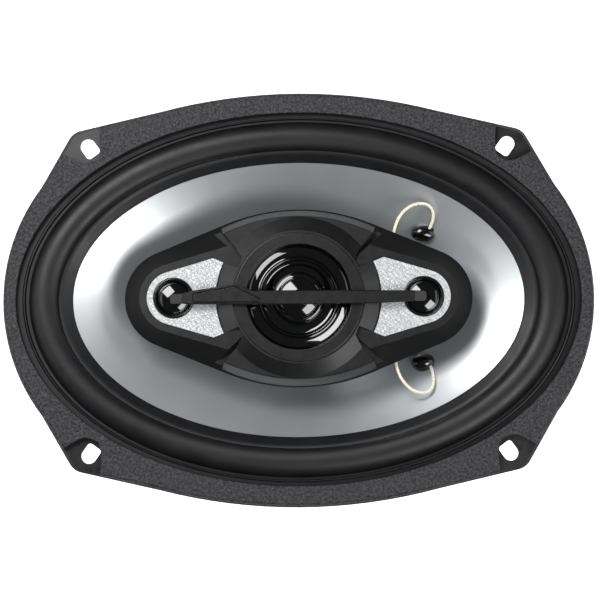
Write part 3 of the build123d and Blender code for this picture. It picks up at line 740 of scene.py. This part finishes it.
# ---------------------------------------------------------------- small drivers
def middle_driver():
    """Dished glossy housing, roll, shallow diaphragm and domed cap."""
    low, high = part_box("mid_frame")
    rim = high.x / MM
    top = high.z / MM
    foot = low.z / MM
    dish = []
    for k in range(13):
        t = k / 12
        dish.append((16.5 + 3.1 * t, 12.35 + 0.75 * t ** 1.7, 0))
    profile = [(11.2, foot, 0), (rim, foot, 0), (rim, top, 0.1), (20.75, top, 0.25), (19.75, 13.2, 0.5)]
    profile += dish[::-1]
    profile += [(16.5, 11.8, 0), (15.2, 11.8, 0), (15.2, 7.5, 0), (11.2, 7.5, 0)]
    place(turned("mid_frame_dish", profile), "chassis", "gloss_black", MATERIALS["gloss_black"], "mid_frame")

    roll = [(14.2, 11.8, 0), (14.2, 12.1, 0.05)] + arch((14.4, 12.1), (16.1, 12.1), 0.8)
    roll += [(16.5, 12.1, 0.05), (16.5, 11.8, 0)] + arch((15.85, 11.8), (14.65, 11.8), 0.55, 12)
    place(turned("mid_surround_roll", roll), "chassis", "gloss_black", MATERIALS["gloss_black"],
          "mid_surround")

    sheet = [(9.6, 8.4, 0), (10.2, 8.6, 0), (13.7, 11.3, 0.3), (14.2, 11.5, 0), (14.2, 11.8, 0.1),
             (13.4, 11.6, 0.4), (9.95, 8.95, 0.1), (9.6, 8.9, 0)]
    place(turned("mid_diaphragm_sheet", sheet), "midrange", "gloss_black", MATERIALS["gloss_black"],
          "mid_diaphragm")

    dome = cap(7.5, 11.2, 21.2) + [(7.75, 9.6, 0.1), (8.1, 9.65, 0.1), (8.6, 9.8, 0.3), (9.3, 9.65, 0.3),
                                   (9.75, 9.35, 0.15), (9.9, 9.0, 0.05), (9.9, 8.9, 0), (0, 8.9, 0)]
    place(turned("mid_dust_cap_dome", dome), "midrange", "gloss_black", MATERIALS["gloss_black"],
          "mid_dust_cap")


def tweeter(side, name):
    at = (side * TWEETER_X, 0.0)
    low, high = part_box(name + "_ring")
    top = high.z / MM
    foot = low.z / MM
    ring = [(5.9, foot, 0), (7.8, foot, 0), (7.8, top, 0.35), (7.2, top, 0.12), (6.85, top - 0.25, 0.2),
            (6.5, top - 0.9, 0.2), (6.5, 12.2, 0), (5.9, 12.2, 0)]
    place(turned(name + "_ring_moulding", ring, at, TWEETER_ROUND), "chassis", "ring_black",
          MATERIALS["ring_black"], name + "_ring")
    roll = [(5.51, 12.25, 0), (5.52, 12.85, 0.1)] + arch((5.62, 12.75), (6.4, 12.5), 0.25, 12) + [
        (6.45, 12.5, 0), (6.45, 12.25, 0)]
    place(turned(name + "_surround_roll", roll, at, TWEETER_ROUND), "chassis", "gloss_black",
          MATERIALS["gloss_black"], name + "_surround")
    dome = cap(5.2, 13.6, 16.06) + [(5.5, 12.62, 0.08), (5.5, 12.4, 0), (0, 12.4, 0)]
    place(turned(name + "_dome_cap", dome, at, TWEETER_ROUND), name, "gloss_black",
          MATERIALS["gloss_black"], name + "_dome")


middle_driver()
tweeter(1, "tweeter_right")
tweeter(-1, "tweeter_left")


# ---------------------------------------------------------------- hard parts whose CAD shape is right
EDGES = {        # node: slot, edge radius in mm
    "basket": ("basket_paint", 0.25),
    "gasket": ("gasket_foam", 0.3),
    "pod_housing": ("pod_plastic", 0.14),
    "centre_bezel": ("bezel_plastic", 0.35),
    "grille_bar": ("bar_plastic", 0.16),
    "bar_nameplate": ("bar_plastic", 0.08),
    "trim_insert_left": ("insert_silver", 0.2),
    "trim_insert_right": ("insert_silver", 0.2),
    "pod_base": ("pod_plastic", 0.2),
    "pod_screws": ("screw_black", 0.08),
    "pod_terminals": ("brass_tab", 0.08),
    "post_screw": ("plated_steel", 0.12),
    "plate_rivets": ("rivet_steel", 0.25),
    "top_plate": ("plated_steel", 0.3),
    "magnet": ("ferrite", 0.8),
    "yoke": ("plated_steel", 0.5),
    "terminal_board": ("board_phenolic", 0.12),
    "terminal_positive": ("brass_tab", 0.12),
    "terminal_negative": ("brass_tab", 0.12),
    "terminal_rivets": ("rivet_steel", 0.12),
    "lead_eyelets": ("brass_tab", 0.08),
    "capacitor_left": ("capacitor_sleeve", 0.3),
    "capacitor_right": ("capacitor_sleeve", 0.3),
}
BODY_OF = {node: body for body, nodes in frame["record"]["behaviour"]["bodies"].items() for node in nodes}

for node, (slot, width) in EDGES.items():
    gap = INSERT_GAP if slot == "insert_silver" else 0.0
    whole = node != "gasket"
    place(softened(node, node + "_part", width, gap, whole), BODY_OF[node], slot, MATERIALS[slot])

KEPT = {         # small turned parts that keep their CAD mesh
    "voice_coil_former": "former_foil",
    "voice_coil": "copper_wire",
    "mid_yoke": "plated_steel",
    "mid_magnet": "ferrite",
    "mid_pole_plate": "plated_steel",
    "mid_voice_coil": "copper_wire",
}
for side in ("tweeter_left", "tweeter_right"):
    KEPT.update({side + "_yoke": "plated_steel", side + "_magnet": "ferrite",
                 side + "_pole_plate": "plated_steel", side + "_coil": "copper_wire"})

for node, slot in KEPT.items():
    obj = frame["nodes"][node]
    obj.data.materials.clear()
    obj.data.materials.append(MATERIALS[slot])


# ---------------------------------------------------------------- floor, lights and world
FLOOR_GAP = 0.0005      # metres
FLOOR_HALF = 3.0
FLOOR_Z = CAD_BOX[0].z - FLOOR_GAP


def flat_light(name, azimuth, off_axis, away, size, power):
    """Softbox aimed at the object, azimuth degrees anticlockwise from +X and off_axis from straight up."""
    turn = math.radians(azimuth)
    lean = math.radians(off_axis)
    to_light = Vector((math.sin(lean) * math.cos(turn), math.sin(lean) * math.sin(turn), math.cos(lean)))
    data = bpy.data.lights.new(name, "AREA")
    data.shape = "RECTANGLE"
    data.size, data.size_y = size
    data.energy = power
    obj = bpy.data.objects.new(name, data)
    obj.location = to_light * away
    obj.rotation_euler = (-to_light).to_track_quat("-Z", "Y").to_euler()
    bpy.context.scene.collection.objects.link(obj)


def stage():
    floor_finish = Finish("floor_paper", (0.8,) * 3, 0.9)
    floor_finish.colour(floor_finish.noise(400, 2), (0.78,) * 3, (0.82,) * 3)
    floor_finish.shader.inputs["Emission Color"].default_value = (1, 1, 1, 1)
    floor_finish.shader.inputs["Emission Strength"].default_value = 0.75
    mesh = bpy.data.meshes.new("floor")
    corners = [(x * FLOOR_HALF, y * FLOOR_HALF, FLOOR_Z) for x, y in ((-1, -1), (1, -1), (1, 1), (-1, 1))]
    mesh.from_pydata(corners, [], [(0, 1, 2, 3)])
    floor = bpy.data.objects.new("floor", mesh)
    floor.data.materials.append(floor_finish.material)
    bpy.context.scene.collection.objects.link(floor)


stage()
flat_light("softbox_back_left", 132, 31, 0.8, (0.36, 0.34), 6.4)
flat_light("softbox_front_right", -43, 33, 1.2, (0.50, 0.50), 9.8)
flat_light("side_left", 180, 55, 1.1, (0.8, 0.7), 3.2)
flat_light("side_right", 0, 55, 1.1, (0.8, 0.7), 3.2)

world = bpy.data.worlds.new("studio")
world.use_nodes = True
world.node_tree.nodes["Background"].inputs["Color"].default_value = (0.9, 0.95, 1.0, 1)
world.node_tree.nodes["Background"].inputs["Strength"].default_value = 0.12
bpy.context.scene.world = world
bpy.context.scene.view_settings.view_transform = "Standard"
